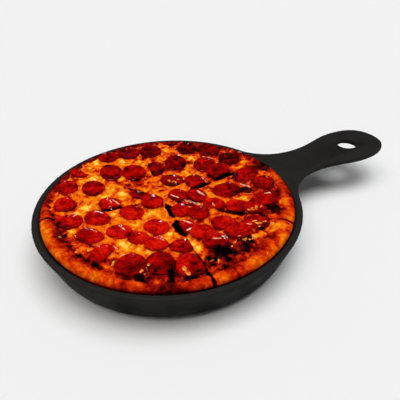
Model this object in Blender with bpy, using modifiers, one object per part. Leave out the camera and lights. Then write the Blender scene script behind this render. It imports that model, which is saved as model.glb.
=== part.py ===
"""Deep dish pepperoni pizza, cut into eight, in its own cast-iron skillet.

Metres, +Z up. The origin is the middle of the skillet's flat base and +X runs out along the handle.
"""
import math
import random

import bmesh
import bpy
import numpy as np
from mathutils import Matrix, Vector, noise
from mathutils.bvhtree import BVHTree

MM = 0.001

# Skillet
RIM_RADIUS = 150 * MM
PAN_DEPTH = 45 * MM
FOOT_RADIUS = 135 * MM
FOOT_FILLET = 18 * MM
FLOOR_THICKNESS = 5 * MM
WALL_THICKNESS = 6.6 * MM
INNER_FILLET = 13 * MM
RIM_ROUNDING = 1.2 * MM
PAN_STEPS = 72

# Handle, measured from the skillet's axis
HANDLE_THICKNESS = 6.5 * MM
HANDLE_EDGE = 1.4 * MM
HANDLE_RISE = math.radians(3.2)
ROOT_X = 135 * MM
ROOT_HALF_WIDTH = 65.4 * MM
NECK_X = 200 * MM
NECK_HALF_WIDTH = 26.5 * MM
PADDLE_X = 270 * MM
PADDLE_HALF_WIDTH = 37.6 * MM
HANDLE_TIP_X = 319.5 * MM
HANDLE_HOLE_X = 270.5 * MM
HANDLE_HOLE_RADIUS = 13.5 * MM
OUTLINE_STEPS = 7

# Pizza, as a blank before it is cut
PIZZA_TURN = math.radians(-27.45)
FOOD_RADIUS = 141 * MM
WALL_CLEARANCE = 0.8 * MM
REST_GAP = 0.3 * MM
CHEESE_LEVEL = PAN_DEPTH + 1.8 * MM
CRUST_HEIGHT = 3.4 * MM
CRUST_NOMINAL = 15 * MM
FULL_CRUST = 11 * MM
FOOD_STEPS = 80
CHEESE_RINGS = (22 * MM, 45 * MM, 67 * MM, 88 * MM, 107 * MM)
# Width of the bare crust round the edge, every 30 degrees from the pizza's own +X
CRUST_WIDTHS = (15 * MM, 8 * MM, 5 * MM, 4 * MM, 4 * MM, 4 * MM, 7 * MM, 16 * MM, 11 * MM, 9 * MM, 13 * MM, 19 * MM)
# Shares of the crust's width where its section has a ring
CRUST_RINGS = (0.25, 0.5, 0.75, 0.93)
# Depth of the crust's outer shoulder, and of the point where it meets the skillet's slope
SHOULDER_DROP = 1 * MM
SIDE_DROP = 8 * MM
# How far the top dips from the crust to its middle
DISH_DEPTH = 5 * MM
# Relief: heights of the cheese's waves and ripples, and of the crust's blisters and roughness
CHEESE_WAVE = 1.0 * MM
CHEESE_WAVE_LENGTH = 24 * MM
CHEESE_RIPPLE = 0.5 * MM
CHEESE_RIPPLE_LENGTH = 9 * MM
CRUST_BLISTER = 1.6 * MM
BLISTERS_PER_RADIAN = 7
CRUST_ROUGHNESS = 0.4 * MM
CRUST_ROUGHNESS_LENGTH = 8 * MM
EDGE_WOBBLE = 0.6 * MM
WOBBLES_PER_RADIAN = 5

# Cuts: bearings in degrees from the pizza's own +X, out from a point just off the middle
CUT_CENTRE = (-7 * MM, 2.5 * MM)
CUT_BEARINGS = (-68, -20, 33, 72, 110.5, 154.5, 201, 247)
KERF = 1.8 * MM

# Pepperoni
PEPPERONI_THICKNESS = 2.1 * MM
PEPPERONI_STEPS = 16
# Half section of a piece: share of its radius, share of its thickness
PEPPERONI_SECTION = ((0, 0.85), (0.66, 1), (0.97, 0.72), (0.93, 0), (0, 0))
PEPPERONI_WOBBLE = 0.03
STEEPEST = 0.16
SETTLE_RINGS = 8
SETTLE_SPOKES = 28
SETTLE_STEP = 0.1 * MM
SEED = 6115
# Middle of each piece in the pizza's own frame, its length and width, all in millimetres, and the bearing of
# its length in degrees, the lowest first
PEPPERONI = (
    (-115, 53, 27, 24, 150), (-121, 17, 30, 25, 115), (-91, 19, 33, 27, 115), (-114, -17, 28, 25, 120),
    (-77, 55, 38, 28, 113), (-48, 56, 38, 30, 112), (-23, 67, 34, 26, 97), (-87, 91, 27, 25, 25),
    (-61, 103, 29, 28, 30), (-32, 109, 35, 28, 102), (3, 81, 38, 30, 100), (16, 117, 31, 26, 95),
    (46, 113, 33, 29, 114), (41, 75, 36, 30, 94), (73, 88, 31, 29, 90), (58, 57, 33, 27, 55),
    (92, 53, 37, 28, 60), (111, 30, 31, 28, 93), (66, 16, 34, 30, 20), (0, 40, 29, 25, 172),
    (28, 38, 29, 25, 99), (9, 9, 26, 23, 130), (31, 5, 27, 23, 127), (-35, 10, 26, 19, 163),
    (-19, -7, 29, 25, 104), (-66, -12, 28, 24, 126), (-39, -27, 29, 26, 146), (51, -11, 27, 25, 121),
    (75, -16, 26, 25, 120), (109, -4, 31, 27, 165), (93, -23, 25, 22, 158), (13, -22, 26, 22, 99),
    (33, -28, 26, 25, 117), (94, -46, 29, 24, 168), (-101, -46, 30, 26, 142), (-74, -39, 31, 25, 146),
    (-75, -69, 31, 23, 156), (-47, -61, 28, 23, 161), (-10, -52, 29, 25, 144), (23, -51, 25, 22, 138),
    (59, -46, 26, 23, 166), (38, -64, 27, 24, 162), (74, -62, 28, 25, 167), (-26, -71, 23, 20, 158),
    (-8, -81, 25, 21, 166), (18, -83, 26, 20, 175), (-56, -96, 31, 25, 99), (-27, -111, 34, 29, 120),
    (-1, -109, 33, 27, 104), (26, -110, 33, 28, 96), (50, -79, 27, 22, 170),
)
# Pieces near the middle that lie whole across a cut
WHOLE = (20, 22, 25)


def rounded_corner(first, corner, last, radius, steps):
    """Points of the arc that rounds a corner of a profile, from the first side to the last."""
    corner = Vector(corner)
    into = (Vector(first) - corner).normalized()
    out = (Vector(last) - corner).normalized()
    half_angle = into.angle(out) / 2
    reach = radius / math.tan(half_angle)
    centre = corner + (into + out).normalized() * (radius / math.sin(half_angle))
    start = corner + into * reach - centre
    end = corner + out * reach - centre
    turn = start.angle(end)
    points = []
    for step in range(steps + 1):
        share = step / steps
        arm = (start * math.sin((1 - share) * turn) + end * math.sin(share * turn)) / math.sin(turn)
        points.append(tuple(centre + arm))
    return points


def material(name, colour, roughness, metallic=0.0):
    """A Principled material in one colour."""
    made = bpy.data.materials.new(name)
    made.use_nodes = True
    made.diffuse_color = (*colour, 1.0)
    shader = made.node_tree.nodes["Principled BSDF"]
    shader.inputs["Base Color"].default_value = (*colour, 1.0)
    shader.inputs["Roughness"].default_value = roughness
    shader.inputs["Metallic"].default_value = metallic
    return made


def collection(name):
    """A new collection in the scene."""
    made = bpy.data.collections.new(name)
    bpy.context.scene.collection.children.link(made)
    return made


def place(mesh, name, group, finish=None, smooth_angle=40):
    """An object for a mesh, in its collection and with its material."""
    made = bpy.data.objects.new(name, mesh)
    group.objects.link(made)
    if finish:
        mesh.materials.append(finish)
    mesh.shade_smooth()
    mesh.set_sharp_from_angle(angle=math.radians(smooth_angle))
    return made


def guide(obj):
    """Marks an object as a cutter or a blank, which isn't part of the model."""
    obj.hide_render = True
    obj.display_type = "WIRE"
    return obj


def turned(name, points, steps, group, finish=None):
    """A solid of revolution, from a profile that runs from the top of the axis round to its foot."""
    mesh = bpy.data.meshes.new(name)
    mesh.from_pydata([(r, 0, z) for r, z in points], [(i, i + 1) for i in range(len(points) - 1)], [])
    made = bpy.data.objects.new(name, mesh)
    group.objects.link(made)
    if finish:
        mesh.materials.append(finish)
    screw = made.modifiers.new("Turn", "SCREW")
    screw.steps = steps
    screw.render_steps = steps
    screw.use_merge_vertices = True
    screw.merge_threshold = 0.00001
    return made


def boolean(obj, other, operation):
    """Joins or cuts an object with another."""
    step = obj.modifiers.new(other.name, "BOOLEAN")
    step.operation = operation
    step.object = other
    step.solver = "EXACT"


def wall_radius(height, inset):
    """Radius of the skillet's sloping wall at a height, measured in from its outer face."""
    return FOOT_RADIUS + (RIM_RADIUS - FOOT_RADIUS) * height / PAN_DEPTH - inset


def pan_body_profile():
    """The skillet's outside: rim, sloping wall, rounded foot and flat base."""
    rim = (RIM_RADIUS, PAN_DEPTH)
    foot = (FOOT_RADIUS, 0)
    rim_arc = rounded_corner((0, PAN_DEPTH), rim, foot, RIM_ROUNDING, 3)
    foot_arc = rounded_corner(rim, foot, (0, 0), FOOT_FILLET, 5)
    return [(0, PAN_DEPTH), *rim_arc, *foot_arc, (0, 0)]


def cavity_profile(inset, floor, top, fillet, steps):
    """The inside of the skillet, or a filling that follows it, below a given height."""
    corner = (wall_radius(floor, inset), floor)
    above = (wall_radius(top, inset), top)
    return [above, *rounded_corner(above, corner, (0, floor), fillet, steps), (0, floor)]


def handle_outline(group):
    """The flat handle: it leaves the rim in wide fillets, narrows, and widens to a round-ended paddle."""
    curve = bpy.data.curves.new("handle_outline", "CURVE")
    curve.dimensions = "2D"
    curve.fill_mode = "BOTH"
    curve.extrude = HANDLE_THICKNESS / 2 - HANDLE_EDGE
    curve.bevel_depth = HANDLE_EDGE
    curve.bevel_resolution = 1
    curve.offset = -HANDLE_EDGE
    curve.resolution_u = OUTLINE_STEPS
    # Each knot: its place, then the ends of its two handles, along one side from root to tip
    side = (
        ((ROOT_X, ROOT_HALF_WIDTH), (ROOT_X, ROOT_HALF_WIDTH), (148 * MM, 41 * MM)),
        ((NECK_X, NECK_HALF_WIDTH), (168 * MM, NECK_HALF_WIDTH), (228 * MM, NECK_HALF_WIDTH)),
        ((PADDLE_X, PADDLE_HALF_WIDTH), (246 * MM, PADDLE_HALF_WIDTH), (303 * MM, PADDLE_HALF_WIDTH)),
        ((HANDLE_TIP_X, 0), (HANDLE_TIP_X, 25 * MM), (HANDLE_TIP_X, -25 * MM)),
    )
    other_side = [(knot[0], knot[2], knot[1]) for knot in reversed(side[:-1])]
    spline = curve.splines.new("BEZIER")
    spline.bezier_points.add(len(side) + len(other_side) - 1)
    spline.use_cyclic_u = True
    for index, point in enumerate(spline.bezier_points):
        mirror = 1 if index < len(side) else -1
        knot = side[index] if index < len(side) else other_side[index - len(side)]
        spots = [(x, y * mirror, 0) for x, y in knot]
        point.handle_left_type = "FREE"
        point.handle_right_type = "FREE"
        point.co, point.handle_left, point.handle_right = spots
    made = bpy.data.objects.new("handle_outline", curve)
    group.objects.link(made)
    # The plate's top leaves the rim flush with it and rises towards the tip
    made.matrix_world = (
        Matrix.Translation((RIM_RADIUS, 0, PAN_DEPTH))
        @ Matrix.Rotation(-HANDLE_RISE, 4, "Y")
        @ Matrix.Translation((-RIM_RADIUS, 0, -HANDLE_THICKNESS / 2))
    )
    return made


def solid_from_curve(curve_object, name, group):
    """A welded mesh with the shape of a curve, in place of the curve."""
    bpy.context.view_layer.update()
    evaluated = curve_object.evaluated_get(bpy.context.evaluated_depsgraph_get())
    mesh = bpy.data.meshes.new_from_object(evaluated)
    bm = bmesh.new()
    bm.from_mesh(mesh)
    bmesh.ops.remove_doubles(bm, verts=bm.verts, dist=0.00001)
    bmesh.ops.recalc_face_normals(bm, faces=bm.faces)
    bm.to_mesh(mesh)
    bm.free()
    made = bpy.data.objects.new(name, mesh)
    made.matrix_world = curve_object.matrix_world
    group.objects.link(made)
    bpy.data.objects.remove(curve_object)
    return made


def skillet(parts, cutters, finish):
    """The cast skillet, one piece with its handle."""
    pan = turned("skillet", pan_body_profile(), PAN_STEPS, parts, finish)
    handle = guide(solid_from_curve(handle_outline(cutters), "handle_blank", cutters))
    boolean(pan, handle, "UNION")
    flare = 3 * MM
    rim_inside = wall_radius(PAN_DEPTH, WALL_THICKNESS)
    cavity = cavity_profile(WALL_THICKNESS, FLOOR_THICKNESS, PAN_DEPTH - RIM_ROUNDING, INNER_FILLET, 5)
    mouth = [(0, PAN_DEPTH + flare), (rim_inside + RIM_ROUNDING + flare, PAN_DEPTH + flare)]
    hollow = guide(turned("cavity_cutter", mouth + cavity, PAN_STEPS, cutters))
    boolean(pan, hollow, "DIFFERENCE")
    bore = bmesh.new()
    hole_top = PAN_DEPTH + math.tan(HANDLE_RISE) * (HANDLE_HOLE_X - RIM_RADIUS)
    bmesh.ops.create_cone(
        bore, cap_ends=True, segments=28, radius1=HANDLE_HOLE_RADIUS, radius2=HANDLE_HOLE_RADIUS,
        depth=HANDLE_THICKNESS * 4, matrix=Matrix.Translation((HANDLE_HOLE_X, 0, hole_top)),
    )
    bore_mesh = bpy.data.meshes.new("hole_cutter")
    bore.to_mesh(bore_mesh)
    bore.free()
    boolean(pan, guide(place(bore_mesh, "hole_cutter", cutters)), "DIFFERENCE")
    return pan


def bare_crust_width(bearing):
    """Width of the bare crust at a bearing, eased between the named widths."""
    place_on_ring = (bearing / math.tau * len(CRUST_WIDTHS)) % len(CRUST_WIDTHS)
    before = int(place_on_ring)
    share = place_on_ring - before
    eased = share * share * (3 - 2 * share)
    after = (before + 1) % len(CRUST_WIDTHS)
    return CRUST_WIDTHS[before] * (1 - eased) + CRUST_WIDTHS[after] * eased


def food_profile():
    """The pizza's section: cheese, the hump of crust, and the deep side that follows the skillet."""
    crust_start = FOOD_RADIUS - CRUST_NOMINAL
    top = [(0, CHEESE_LEVEL), *[(radius, CHEESE_LEVEL) for radius in CHEESE_RINGS]]
    crust = [(crust_start, CHEESE_LEVEL)]
    for share in CRUST_RINGS:
        hump = math.sin(math.pi * share ** 0.8) ** 0.8
        crust.append((crust_start + CRUST_NOMINAL * share, CHEESE_LEVEL + CRUST_HEIGHT * hump))
    crust.append((FOOD_RADIUS, PAN_DEPTH - SHOULDER_DROP))
    inset = WALL_THICKNESS + WALL_CLEARANCE
    side = cavity_profile(inset, FLOOR_THICKNESS + REST_GAP, PAN_DEPTH - SIDE_DROP, INNER_FILLET, 3)
    return top + crust + side


def round_noise(bearing, per_radian):
    """Smooth noise from -1 to 1 that runs round the pizza without a seam."""
    return noise.noise(Vector((math.cos(bearing), math.sin(bearing), 0)) * per_radian)


def shape_food(bm):
    """Gives the turned blank its uneven crust, its blisters and the soft waves of the cheese."""
    crust_start = FOOD_RADIUS - CRUST_NOMINAL
    for vert in bm.verts:
        if vert.co.z < PAN_DEPTH - SIDE_DROP / 2:
            continue
        radius = vert.co.xy.length
        bearing = math.atan2(vert.co.y, vert.co.x)
        width = bare_crust_width(bearing)
        if radius <= crust_start:
            new_radius = radius * (FOOD_RADIUS - width) / crust_start
            lift = CHEESE_WAVE * noise.noise(vert.co / CHEESE_WAVE_LENGTH)
            lift += CHEESE_RIPPLE * noise.noise(vert.co / CHEESE_RIPPLE_LENGTH)
            lift -= DISH_DEPTH * (1 - (radius / crust_start) ** 2)
        else:
            share = min(1, (radius - crust_start) / CRUST_NOMINAL)
            new_radius = FOOD_RADIUS - width * (1 - share)
            lift = CRUST_ROUGHNESS * noise.noise(vert.co / CRUST_ROUGHNESS_LENGTH)
            lift += CRUST_BLISTER * math.sin(math.pi * share) * round_noise(bearing, BLISTERS_PER_RADIAN)
            if share < 1:
                lift -= (vert.co.z - CHEESE_LEVEL) * (1 - min(1, width / FULL_CRUST))
        new_radius += EDGE_WOBBLE * round_noise(bearing, WOBBLES_PER_RADIAN) * (new_radius / FOOD_RADIUS) ** 4
        if radius > 0:
            vert.co.x *= new_radius / radius
            vert.co.y *= new_radius / radius
        vert.co.z += lift


def food_blank():
    """The whole pizza before it is cut."""
    bm = bmesh.new()
    corners = [bm.verts.new((r, 0, z)) for r, z in food_profile()]
    chain = [bm.edges.new(pair) for pair in zip(corners, corners[1:])]
    bmesh.ops.spin(
        bm, geom=corners + chain, cent=(0, 0, 0), axis=(0, 0, 1), angle=math.tau,
        steps=FOOD_STEPS, use_merge=True,
    )
    bmesh.ops.remove_doubles(bm, verts=bm.verts, dist=0.00001)
    bmesh.ops.recalc_face_normals(bm, faces=bm.faces)
    shape_food(bm)
    return bm


def trim(bm, point, normal):
    """Cuts away what lies beyond a plane, and closes the cut."""
    bmesh.ops.bisect_plane(
        bm, geom=bm.verts[:] + bm.edges[:] + bm.faces[:], dist=0.000001,
        plane_co=point, plane_no=normal, clear_outer=True,
    )
    rim = [edge for edge in bm.edges if edge.is_boundary]
    if rim:
        bmesh.ops.holes_fill(bm, edges=rim, sides=0)


def cut_to_slice(bm, index):
    """Keeps what lies between two neighbouring cuts, half a kerf clear of each."""
    start = math.radians(CUT_BEARINGS[index])
    end = math.radians(CUT_BEARINGS[(index + 1) % len(CUT_BEARINGS)])
    for normal in ((math.sin(start), -math.cos(start), 0), (-math.sin(end), math.cos(end), 0)):
        point = Vector((*CUT_CENTRE, 0)) - Vector(normal) * KERF / 2
        trim(bm, point, normal)


def slice_at(x, y):
    """The slice under a point of the pizza's top."""
    bearing = math.degrees(math.atan2(y - CUT_CENTRE[1], x - CUT_CENTRE[0]))
    turn = (bearing - CUT_BEARINGS[0]) % 360
    starts = [(cut - CUT_BEARINGS[0]) % 360 for cut in CUT_BEARINGS]
    return max(index for index, begin in enumerate(starts) if begin <= turn)


def finish_food(bm, name, group, finish):
    """Turns a finished piece of the pizza to its place in the skillet and makes it an object."""
    bmesh.ops.rotate(bm, verts=bm.verts, matrix=Matrix.Rotation(PIZZA_TURN, 3, "Z"))
    bmesh.ops.triangulate(bm, faces=bm.faces)
    mesh = bpy.data.meshes.new(name)
    bm.to_mesh(mesh)
    bm.free()
    return place(mesh, name, group, finish, smooth_angle=50)


def pepperoni_disc(length, width, turn, draw):
    """One thin slice of sausage at the origin: oval, cupped, with a soft edge."""
    radius = length / 2
    thick = PEPPERONI_THICKNESS * draw.uniform(0.85, 1.1)
    cup = draw.uniform(0.5, 1.5) * MM
    wobble_at = draw.uniform(0, math.tau)
    bm = bmesh.new()
    corners = [bm.verts.new((share * radius, 0, rise * thick)) for share, rise in PEPPERONI_SECTION]
    chain = [bm.edges.new(pair) for pair in zip(corners, corners[1:])]
    bmesh.ops.spin(
        bm, geom=corners + chain, cent=(0, 0, 0), axis=(0, 0, 1), angle=math.tau,
        steps=PEPPERONI_STEPS, use_merge=True,
    )
    bmesh.ops.remove_doubles(bm, verts=bm.verts, dist=0.00001)
    bmesh.ops.recalc_face_normals(bm, faces=bm.faces)
    for vert in bm.verts:
        bearing = math.atan2(vert.co.y, vert.co.x)
        share = vert.co.xy.length / radius
        grow = 1 + PEPPERONI_WOBBLE * math.cos(3 * bearing + wobble_at)
        vert.co.x *= grow
        vert.co.y *= grow * width / length
        vert.co.z += cup * share * share * (1 + 0.5 * math.cos(2 * bearing + wobble_at))
    bmesh.ops.rotate(bm, verts=bm.verts, matrix=Matrix.Rotation(turn, 3, "Z"))
    return bm


def height_under(x, y, supports):
    """Height of the highest thing placed so far, at a point."""
    above = Vector((x, y, PAN_DEPTH + 0.1))
    heights = []
    for tree in supports:
        hit = tree.ray_cast(above, Vector((0, 0, -1)))[0]
        if hit:
            heights.append(hit.z)
    return max(heights) if heights else None


def settle(bm, supports):
    """Leans a piece to the ground under it and lowers it until it rests there, a hair clear."""
    underside = BVHTree.FromBMesh(bm)
    middle = sum((vert.co for vert in bm.verts), Vector()) / len(bm.verts)
    reach = max((vert.co.xy - middle.xy).length for vert in bm.verts)
    rows = []
    for ring in range(SETTLE_RINGS + 1):
        for turn in np.linspace(0, math.tau, SETTLE_SPOKES, endpoint=False):
            dx = reach * ring / SETTLE_RINGS * math.cos(turn)
            dy = reach * ring / SETTLE_RINGS * math.sin(turn)
            ground = height_under(middle.x + dx, middle.y + dy, supports)
            hit = underside.ray_cast(Vector((middle.x + dx, middle.y + dy, -0.1)), Vector((0, 0, 1)))[0]
            if hit and ground:
                rows.append((dx, dy, ground - hit.z))
    rows = np.array(rows)
    plane = np.linalg.lstsq(np.c_[rows[:, :2], np.ones(len(rows))], rows[:, 2], rcond=None)[0]
    lean = plane[:2] * min(1, STEEPEST / max(np.hypot(*plane[:2]), 1e-6))
    drop = (rows[:, 2] - rows[:, :2] @ lean).max()
    for vert in bm.verts:
        vert.co.z += (vert.co.x - middle.x) * lean[0] + (vert.co.y - middle.y) * lean[1] + drop
    while any(BVHTree.FromBMesh(bm).overlap(tree) for tree in supports):
        bmesh.ops.translate(bm, verts=bm.verts, vec=(0, 0, SETTLE_STEP))
    bmesh.ops.translate(bm, verts=bm.verts, vec=(0, 0, REST_GAP))


def main():
    for old in list(bpy.data.objects):
        bpy.data.objects.remove(old)
    parts = collection("deep_dish_pizza")
    cutters = collection("cutters")
    iron = material("black_iron", (0.018, 0.017, 0.015), 0.55, 0.6)
    crust = material("crust_and_cheese", (0.80, 0.30, 0.04), 0.5)
    sausage = material("pepperoni", (0.42, 0.01, 0.005), 0.3)
    skillet(parts, cutters, iron)
    supports = []
    blank = food_blank()
    for index in range(len(CUT_BEARINGS)):
        piece = blank.copy()
        cut_to_slice(piece, index)
        supports.append(BVHTree.FromBMesh(piece))
        finish_food(piece, f"slice_{index + 1}", parts, crust)
    blank.free()
    draw = random.Random(SEED)
    for number, (x, y, length, width, turn) in enumerate(PEPPERONI, 1):
        piece = pepperoni_disc(length * MM, width * MM, math.radians(turn), draw)
        bmesh.ops.translate(piece, verts=piece.verts, vec=(x * MM, y * MM, 0))
        if number not in WHOLE:
            cut_to_slice(piece, slice_at(x * MM, y * MM))
        settle(piece, supports)
        supports.append(BVHTree.FromBMesh(piece))
        finish_food(piece, f"pepperoni_{number:02d}", parts, sausage)


main()
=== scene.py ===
"""Finishes of a deep dish pepperoni pizza, cut into eight, in its cast-iron skillet."""
import math
import random

import bmesh
import bpy
import numpy as np
from mathutils import Matrix, Vector, noise
from mathutils.bvhtree import BVHTree
from mathutils.kdtree import KDTree


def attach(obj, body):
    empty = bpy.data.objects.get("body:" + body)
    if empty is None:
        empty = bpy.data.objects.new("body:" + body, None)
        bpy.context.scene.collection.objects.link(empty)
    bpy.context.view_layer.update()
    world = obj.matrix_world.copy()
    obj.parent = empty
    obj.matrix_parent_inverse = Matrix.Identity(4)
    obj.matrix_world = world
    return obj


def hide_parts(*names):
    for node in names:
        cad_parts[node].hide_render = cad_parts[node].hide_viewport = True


bl_info = {
    "name": "Deep Dish Pizza",
    "version": (1, 0, 0),
    "blender": (4, 5, 0),
    "location": "View3D > Sidebar > Pizza",
    "description": "Dresses a deep dish pizza and its skillet, and sets the table for it",
    "category": "Object",
}

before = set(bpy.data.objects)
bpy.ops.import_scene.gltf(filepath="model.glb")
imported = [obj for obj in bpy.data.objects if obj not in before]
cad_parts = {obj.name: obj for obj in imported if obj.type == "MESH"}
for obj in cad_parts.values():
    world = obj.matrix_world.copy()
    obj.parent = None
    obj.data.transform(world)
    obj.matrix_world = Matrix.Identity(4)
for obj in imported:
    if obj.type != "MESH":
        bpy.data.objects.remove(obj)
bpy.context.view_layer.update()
BODY = "root"
MM = 0.001

# The skillet and the pizza in it, as they were built
RIM_RADIUS = 150 * MM
PAN_DEPTH = 45 * MM
FOOD_RADIUS = 141 * MM
# Turn of the pizza's own frame, whose +Y points away from the camera, against the skillet's
PIZZA_TURN = math.radians(-27.45)
SLICES = sorted(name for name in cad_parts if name.startswith("slice_"))
PEPPERONI = sorted(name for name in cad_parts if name.startswith("pepperoni_"))
# Width of the bare crust round the edge, every 30 degrees from the pizza's own +X
CRUST_WIDTHS = (
    15 * MM, 9 * MM, 5 * MM, 4 * MM, 4 * MM, 4 * MM, 8 * MM, 19 * MM, 15 * MM, 9 * MM, 15 * MM, 20 * MM,
)
# Brightness of the crust's edge at the same bearings, from dark, 0, to golden, 1: partly how far it browned,
# partly painted shade where the skillet's wall and rim shade the food's edge at the back and left
CRUST_BROWNING_AND_SHADE = (0.32, 0.5, 0.15, 0.1, 0.1, 0.15, 0.2, 0.95, 0.62, 0.36, 0.55, 0.8)
# A slice's side lies below the first level or beyond the radius, and its cuts gape above the second level
TOP_LEVEL = PAN_DEPTH - 9 * MM
OPEN_LEVEL = PAN_DEPTH - 14 * MM
SIDE_RADIUS = FOOD_RADIUS - 0.3 * MM
# Points closer than this are one point
SAME = 0.00001
# Tone of plain dough, of plain cheese and of the dough's side: 0 is burnt, 1 is barely melted
DOUGH_TONE = 0.51
CHEESE_TONE = 0.66
SIDE_TONE = 0.22
# Where the cuts meet, in the pizza's own frame
CUT_CENTRE = (-7 * MM, 2.5 * MM)
# Where each cut has opened, by its bearing in degrees: from, to and width of the opening in millimetres
OPENINGS = {
    -68: ((12, 36, 5.5), (46, 70, 10), (102, 150, 1.2)),
    -20: ((17, 48, 2.2), (66, 94, 2.6), (134, 150, 1.4)),
    33: ((37, 63, 4.5), (74, 104, 3.0)),
    72: (),
    110.5: ((98, 114, 0.8),),
    154.5: ((16, 48, 1.6),),
    201: ((30, 76, 2.0), (112, 150, 1.2)),
    247: (),
}

# Marks on the top: middle and size in millimetres, in the pizza's own frame
BURNT_PLACES = (
    (-109, -74, 4), (-111, -58, 4), (-100, -68, 4), (-97, -78, 3), (-90, -84, 3), (-84, -90, 3),
    (-77, -97, 3), (-69, -104, 3), (-62, -109, 4), (-55, -113, 4), (-112, -52, 4), (-123, -34, 4),
    (-51, -78, 4), (-44, -93, 4), (-16, -128, 7), (-21, -125, 4), (-10, -127, 4), (-4, -121, 4),
    (10, -121, 6), (10, -128, 6), (24, -127, 5), (30, -126, 5), (35, -118, 4), (42, -100, 5),
    (47, -109, 5), (56, -92, 12), (62, -90, 9), (60, -101, 7), (50, -101, 5), (78, -90, 10),
    (81, -82, 11), (85, -75, 6), (69, -92, 6), (57, -110, 4), (88, -77, 4), (113, -20, 8), (116, -27, 6),
    (126, 5, 4), (124, 13, 4), (126, -25, 5), (107, -41, 5), (101, -37, 4), (92, -62, 4), (98, -58, 4),
    (123, -62, 3), (-5, 127, 5), (13, 115, 5), (115, 66, 8), (121, 60, 5), (88, 16, 7), (78, 9, 4),
    (78, 48, 4), (70, 45, 4), (-36, -73, 4), (-34, 12, 10, 0.8), (-26, 6, 6, 0.6), (73, 90, 11, 0.6),
    (70, 20, 9, 0.5), (76, 14, 7, 0.5), (-58, 62, 9, 0.5), (-8, 44, 6, 0.5), (4, 34, 6, 0.5),
    (-36, -67, 6, 0.7), (6, -83, 5, 0.6), (103, -36, 8, 0.7), (-13, -8, 5, 0.4), (92, -6, 6, 0.5),
    (-112, 57, 9, 0.4), (56, 64, 8, 0.4), (21, 50, 5, 0.6), (64, 8, 7, 0.5), (20, 118, 14, 0.4),
    (34, 112, 9, 0.4), (-26, -113, 9, 0.5), (-32, -106, 8, 0.4), (30, -108, 8, 0.4), (8, -112, 7, 0.5),
    (-60, -98, 8, 0.4), (-52, -106, 6, 0.5), (-72, 50, 8, 0.4), (44, 74, 10, 0.3), (2, 66, 7, 0.4),
)
STAINED_PLACES = (
    (67, -101, 10), (58, -110, 10), (48, -98, 12), (82, -90, 8), (70, -84, 12), (108, -75, 8),
    (110, -82, 5), (46, -123, 4), (11, -134, 11), (-108, -66, 9), (-98, -78, 7), (-113, -50, 7),
    (-80, -96, 6), (-102, 1, 3), (-98, -7, 3), (-112, 71, 5), (-132, -19, 6), (-133, -30, 5),
    (-103, -71, 10), (-88, -88, 10), (-70, -105, 10), (62, -96, 22), (80, -84, 14), (-15, -124, 12),
    (25, -124, 12), (45, -108, 8), (118, -24, 12), (124, 8, 8), (-62, 36, 5), (-52, 31, 6), (-44, 22, 6),
    (-36, 32, 6), (-26, 37, 6), (-20, 26, 5), (-70, 41, 6), (-30, 50, 5), (-12, 28, 5), (-62, 24, 4),
    (106, -70, 8), (115, -64, 6), (126, -50, 4), (12, 60, 6), (-64, 52, 6), (-40, 92, 7), (-20, 100, 6),
    (30, 72, 6), (-100, 62, 7), (-14, -108, 12), (12, -108, 12), (-44, -104, 9), (42, -106, 10),
    (-72, -82, 9), (45, 118, 14), (28, 124, 12), (58, 104, 12), (-45, 112, 10), (-75, 97, 10),
    (-52, 68, 8), (-8, 66, 8), (22, 84, 9), (58, 68, 10), (75, 60, 8), (18, 40, 7), (44, 22, 8),
    (98, 16, 9), (-10, 18, 8), (-50, -20, 7), (52, -52, 9), (76, -46, 9), (36, -45, 8), (-32, -66, 8),
    (6, -82, 7), (-92, 62, 7), (-114, 36, 7), (0, 106, 8), (-45, 30, 7), (-30, 28, 6), (-62, 33, 5),
    (-55, 24, 5), (-50, 84, 8), (-28, 88, 6), (60, 104, 8),
)
PALE_PLACES = (
    (-114, -31, 4), (-95, -61, 6), (-42, -77, 9), (-34, -80, 9), (-24, -87, 7), (-15, -91, 5),
    (5, -62, 5), (28, -78, 6), (33, -84, 7), (90, -69, 6), (126, -8, 6), (128, -15, 6), (112, -54, 8),
    (109, -60, 6), (30, 90, 7), (24, 97, 5), (-96, 86, 7), (-96, 43, 9), (-84, 42, 7), (-111, 35, 7),
    (-128, 35, 6), (-92, -18, 8), (-98, -30, 6), (-57, -31, 6), (-22, -29, 6), (-15, -24, 8), (-4, -4, 6),
    (84, 1, 6), (91, 82, 5), (55, -62, 5), (46, -87, 5), (-62, 44, 8), (-13, 116, 7), (14, 62, 6),
    (-36, -4, 5), (-71, -87, 4), (-101, 79, 9), (-68, 85, 7), (-46, 86, 7), (-21, 96, 6), (113, -48, 6),
    (-74, 4, 8), (-56, 12, 7),
)
# Stretches that the oven toasted: middle, size and strength
TOASTED_AREAS = (
    (-100, 112, 30, 0.5), (-50, 124, 28, 0.7), (-75, 110, 20, 0.5), (10, 134, 30, 0.8),
    (45, 120, 42, 1.0), (80, 100, 32, 0.8), (110, 75, 30, 1.0), (-125, 62, 20, 0.6), (-134, 20, 14, 0.5),
    (-45, 28, 28, 0.6), (-15, 5, 16, 0.4), (20, 0, 24, 0.5), (52, 48, 26, 0.6), (90, 20, 26, 0.7),
    (118, 8, 22, 0.9), (110, -25, 25, 0.9), (80, -28, 26, 0.7), (50, -30, 20, 0.4), (62, -58, 24, 0.4),
    (88, -60, 18, 0.5), (-98, -78, 26, 0.9), (-78, -100, 20, 0.9), (-118, -52, 16, 0.7),
    (-28, -112, 26, 0.9), (2, -118, 32, 1.0), (30, -112, 26, 0.9), (60, -97, 30, 1.3), (86, -80, 26, 1.1),
    (74, -70, 18, 0.9), (-60, -108, 16, 0.6), (-25, 95, 18, 0.3), (-5, 104, 95, 0.24), (84, 38, 34, 0.8),
    (-124, -38, 18, 0.7), (-36, 0, 22, 0.3), (98, 55, 26, 0.7),
)
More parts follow.
